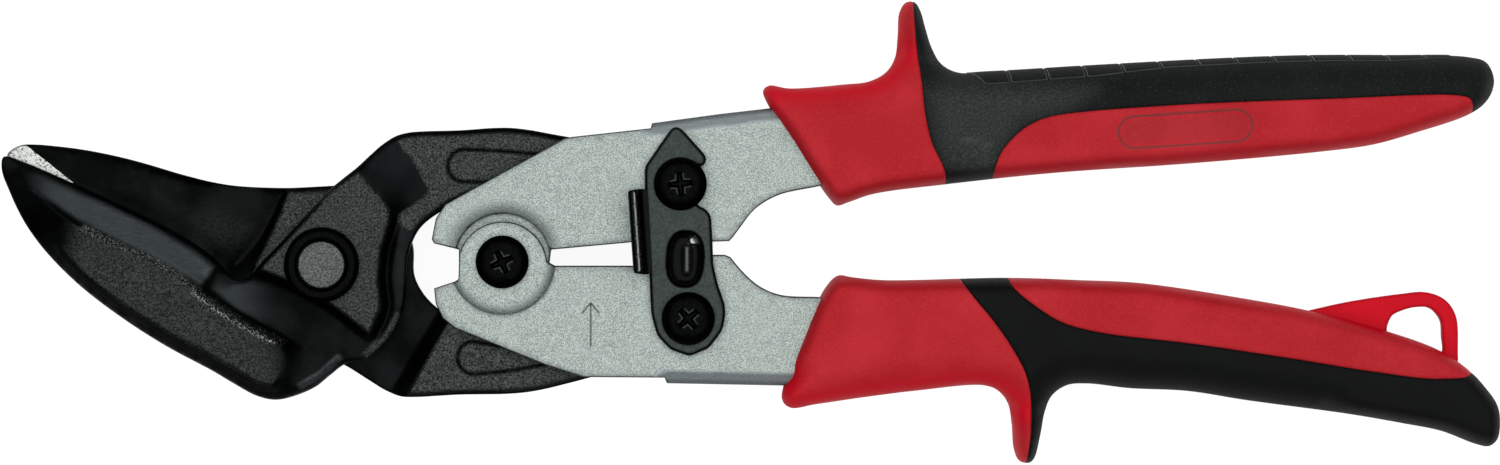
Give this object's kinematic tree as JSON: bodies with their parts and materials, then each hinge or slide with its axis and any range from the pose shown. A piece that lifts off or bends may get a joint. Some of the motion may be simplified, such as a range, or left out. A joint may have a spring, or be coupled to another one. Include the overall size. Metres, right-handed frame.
{
  "type": "aviation snips",
  "caption": "Offset compound-leverage sheet metal snips with crossed forged blades, stamped channel handles, a hook latch and two-tone grips with a hang loop.",
  "frame": {"origin": "centre of the object's box in plan, on the plane that the backs of the grips lie on", "axes": "+X along the tool from the jaws towards the grips, +Y in plan across the tool from the lower to the upper handle, +Z square to the tool, towards the latch side"},
  "size_m": [0.2608, 0.0802, 0.022],
  "materials": {
    "forged_steel": "blasted and blackened forging, ground near the edges",
    "plated_handles": "bright zinc plate, fine speckle",
    "latch_steel": "black satin stamping",
    "black_fasteners": "black oxide",
    "bolt_steel": "plain steel, dull",
    "spring_wire": "drawn spring wire",
    "red_grip": "moulded, fine matte grain",
    "black_grip": "soft overmoulding, fine matte grain"
  },
  "bodies": {
    "lower_lever": {"lower_handle": "plated_handles", "lower_grip_body": "red_grip", "lower_grip_cover": "black_grip", "hang_loop": "red_grip", "handle_pivot_screw": "black_fasteners", "handle_pivot_sleeve": "bolt_steel", "handle_pivot_nut": "black_fasteners", "lower_link_screw": "black_fasteners", "lower_link_sleeve": "bolt_steel", "lower_link_nut": "black_fasteners", "return_spring": "spring_wire", "latch_spring": "spring_wire"},
    "upper_lever": {"upper_handle": "plated_handles", "upper_grip_body": "red_grip", "upper_grip_cover": "black_grip", "upper_link_screw": "black_fasteners", "upper_link_sleeve": "bolt_steel", "upper_link_nut": "black_fasteners"},
    "rear_forging": {"upper_blade": "forged_steel", "blade_bolt": "bolt_steel", "blade_nut": "black_fasteners", "blade_washer": "black_fasteners"},
    "front_forging": {"lower_jaw": "forged_steel"},
    "latch_plate": {"latch": "latch_steel"}
  },
  "joints": [
    {"name": "handle_pivot", "type": "hinge", "parent": "lower_lever", "child": "upper_lever", "pos_m": [-0.04305, -0.00511, 0.01], "axis": [0, 0, 1], "range_deg": [0, 35]},
    {"name": "lower_link_pivot", "type": "hinge", "parent": "lower_lever", "child": "rear_forging", "pos_m": [-0.01074, -0.01491, 0.01], "axis": [0, 0, 1], "range_deg": [0, 10]},
    {"name": "blade_pivot", "type": "hinge", "parent": "rear_forging", "child": "front_forging", "pos_m": [-0.0743, -0.0056, 0.01], "axis": [0, 0, 1], "range_deg": [0, 17]},
    {"name": "latch_pivot", "type": "hinge", "parent": "lower_lever", "child": "latch_plate", "pos_m": [-0.01074, -0.01491, 0.01], "axis": [0, 0, 1], "range_deg": [0, 55]}
  ],
  "couplings": [
    {"joint": "lower_link_pivot", "follows": "handle_pivot", "ratio": 0.276},
    {"joint": "blade_pivot", "follows": "handle_pivot", "ratio": 0.4811},
    {"joint": "latch_pivot", "follows": "handle_pivot", "ratio": 1.55}
  ]
}
